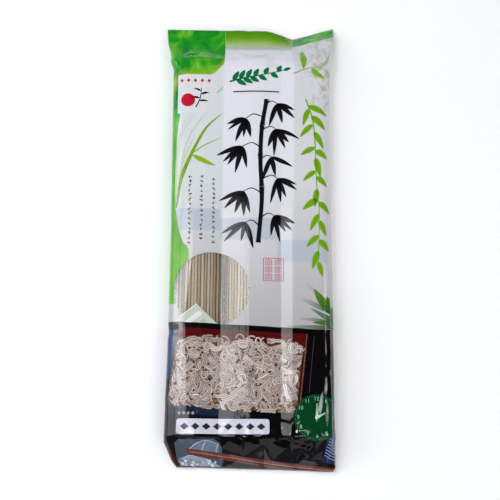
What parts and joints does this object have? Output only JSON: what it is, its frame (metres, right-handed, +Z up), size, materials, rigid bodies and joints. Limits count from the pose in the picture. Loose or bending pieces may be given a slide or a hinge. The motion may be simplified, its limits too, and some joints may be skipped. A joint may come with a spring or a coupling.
{
  "type": "pack of dried soba noodles",
  "caption": "Sealed film pack of dried buckwheat noodles lying on its back, with flat end seals, a back seam and a round window over straight noodle bundles.",
  "frame": {"origin": "on the surface the pack lies on, under the middle of its outline", "axes": "+Z up, out of the printed front; +Y along the pack to its top seal; +X to the right-hand edge seen from the front"},
  "size_m": [0.1136, 0.2966, 0.0175],
  "materials": {
    "printed_film": "glossy laminated packaging film, printed on its inner face",
    "clear_film": "clear glossy packaging film",
    "dried_noodle": "dry matt buckwheat dough with fine dark specks"
  },
  "bodies": {
    "root": {"film_bag": "printed_film", "noodles_left": "dried_noodle", "noodles_middle": "dried_noodle", "noodles_right": "dried_noodle"}
  },
  "joints": []
}
